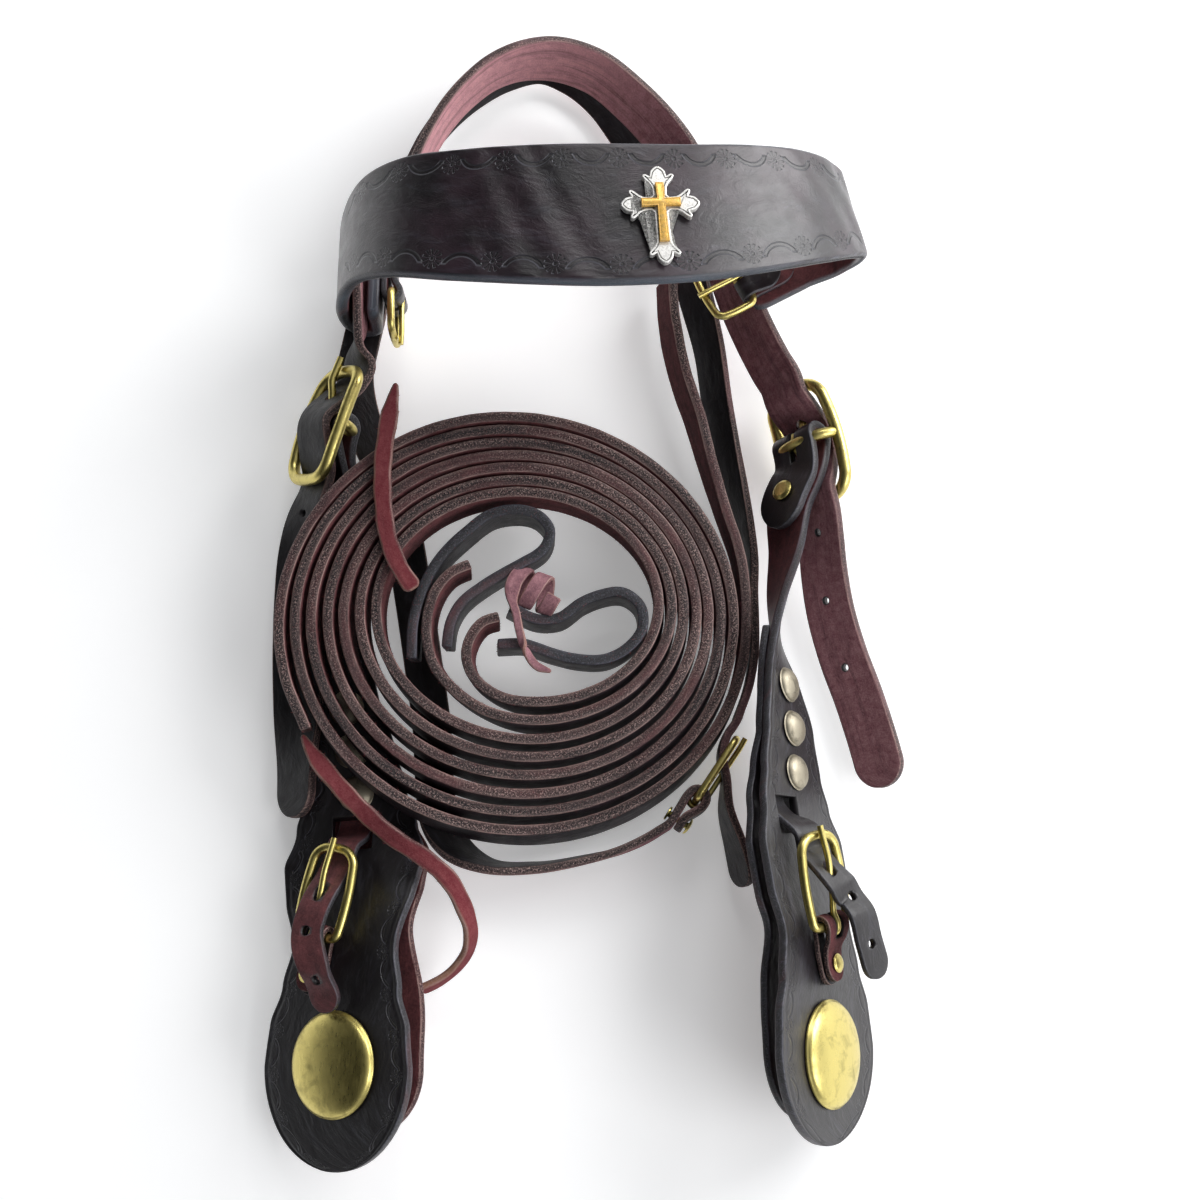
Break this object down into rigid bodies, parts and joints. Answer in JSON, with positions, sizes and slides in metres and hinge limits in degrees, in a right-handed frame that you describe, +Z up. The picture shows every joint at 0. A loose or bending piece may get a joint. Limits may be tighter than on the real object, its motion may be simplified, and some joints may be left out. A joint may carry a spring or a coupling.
{
  "type": "headstall",
  "caption": "Western leather headstall with an arched stamped browband, cross ornament, concho tabs and buckles, laid out flat with its reins coiled on it.",
  "frame": {"origin": "middle of the bundle's foot: centre of its bounds in X and Y, at the height of the lowest point", "axes": "+X to the right cheek, +Y from the tabs towards the crown, +Z up from the table"},
  "size_m": [0.2266, 0.418, 0.1018],
  "materials": {
    "crown_leather": "rough flesh side with a speckled cut edge",
    "browband_leather": "oiled, border stamped, burnished edge",
    "chape_leather": "smooth black",
    "throat_leather": "oiled black",
    "cheek_leather": "oiled, border stamped, worn grey",
    "lining_leather": "rough flesh side, burgundy",
    "rein_leather": "rough edge, brown and burgundy",
    "lace_leather": "raw, crimson with tan edges",
    "brass": "polished, lightly tarnished",
    "nickel": "warm nickel, polished",
    "silver": "antiqued silver plate"
  },
  "bodies": {
    "root": {"crown_strap": "crown_leather", "browband": "browband_leather", "browband_chape_left": "chape_leather", "browband_chape_right": "chape_leather", "browband_buckle_left": "brass", "browband_buckle_right": "brass", "browband_rivet_left": "brass", "browband_rivet_right": "brass", "throatlatch_strap": "throat_leather", "throatlatch_buckle": "brass", "throatlatch_rivet": "brass", "cheek_buckle_left": "brass", "cheek_buckle_right": "brass", "rein_a": "rein_leather", "rein_b": "rein_leather", "rein_loop_a": "rein_leather", "rein_loop_b": "rein_leather", "lace_upper": "lace_leather", "lace_lower": "lace_leather", "lace_knot": "lace_leather", "cross_ornament": "silver", "cross_overlay": "brass", "cross_screw": "nickel", "cheek_front_left": "cheek_leather", "cheek_lining_left": "lining_leather", "cheek_screw_left": "brass", "bit_billet_left": "cheek_leather", "bit_chape_left": "lining_leather", "bit_buckle_left": "brass", "bit_rivet_left": "brass", "concho_left": "brass", "concho_screw_left": "brass", "spot_left_1": "nickel", "spot_left_2": "nickel", "spot_left_3": "nickel"},
    "cheek_right": {"cheek_front_right": "cheek_leather", "cheek_lining_right": "lining_leather", "cheek_screw_right": "brass", "bit_billet_right": "cheek_leather", "bit_chape_right": "lining_leather", "bit_buckle_right": "brass", "bit_rivet_right": "brass", "concho_right": "brass", "concho_screw_right": "brass", "spot_right_1": "nickel", "spot_right_2": "nickel", "spot_right_3": "nickel"},
    "cheek_tongue_left": {"cheek_tongue_left": "brass"},
    "cheek_tongue_right": {"cheek_tongue_right": "brass"},
    "browband_tongue_left": {"browband_tongue_left": "brass"},
    "browband_tongue_right": {"browband_tongue_right": "brass"},
    "throatlatch_tongue": {"throatlatch_tongue": "brass"},
    "bit_tongue_left": {"bit_tongue_left": "brass"},
    "bit_tongue_right": {"bit_tongue_right": "brass"}
  },
  "joints": [
    {"name": "cheek_right_swing", "type": "hinge", "parent": "root", "child": "cheek_right", "pos_m": [0.07912, 0.04436, 0.02069], "axis": [0.6225, 0.1608, 0.766], "range_deg": [-1, 4]},
    {"name": "cheek_tongue_left_lift", "type": "hinge", "parent": "root", "child": "cheek_tongue_left", "pos_m": [-0.09228, 0.05086, 0.01969], "axis": [0.6134, -0.1931, 0.7658], "range_deg": [0, 4]},
    {"name": "cheek_tongue_right_lift", "type": "hinge", "parent": "root", "child": "cheek_tongue_right", "pos_m": [0.07912, 0.04436, 0.02069], "axis": [-0.6225, -0.1608, -0.766], "range_deg": [0, 4]},
    {"name": "browband_tongue_left_lift", "type": "hinge", "parent": "root", "child": "browband_tongue_left", "pos_m": [-0.07108, 0.10076, 0.02219], "axis": [0, 0, 1], "range_deg": [0, 110]},
    {"name": "browband_tongue_right_lift", "type": "hinge", "parent": "root", "child": "browband_tongue_right", "pos_m": [0.05692, 0.10276, 0.03799], "axis": [-0.4635, 0.8861, -0.0046], "range_deg": [0, 110]},
    {"name": "throatlatch_tongue_lift", "type": "hinge", "parent": "root", "child": "throatlatch_tongue", "pos_m": [0.03962, -0.08424, 0.01329], "axis": [0, 0, -1], "range_deg": [0, 4]},
    {"name": "bit_tongue_left_lift", "type": "hinge", "parent": "root", "child": "bit_tongue_left", "pos_m": [-0.0915, -0.13159, 0.02504], "axis": [0.8748, -0.1898, 0.4457], "range_deg": [0, 4]},
    {"name": "bit_tongue_right_lift", "type": "hinge", "parent": "cheek_right", "child": "bit_tongue_right", "pos_m": [0.0828, -0.12812, 0.03698], "axis": [0.7402, 0.2271, -0.6329], "range_deg": [0, 2]}
  ]
}
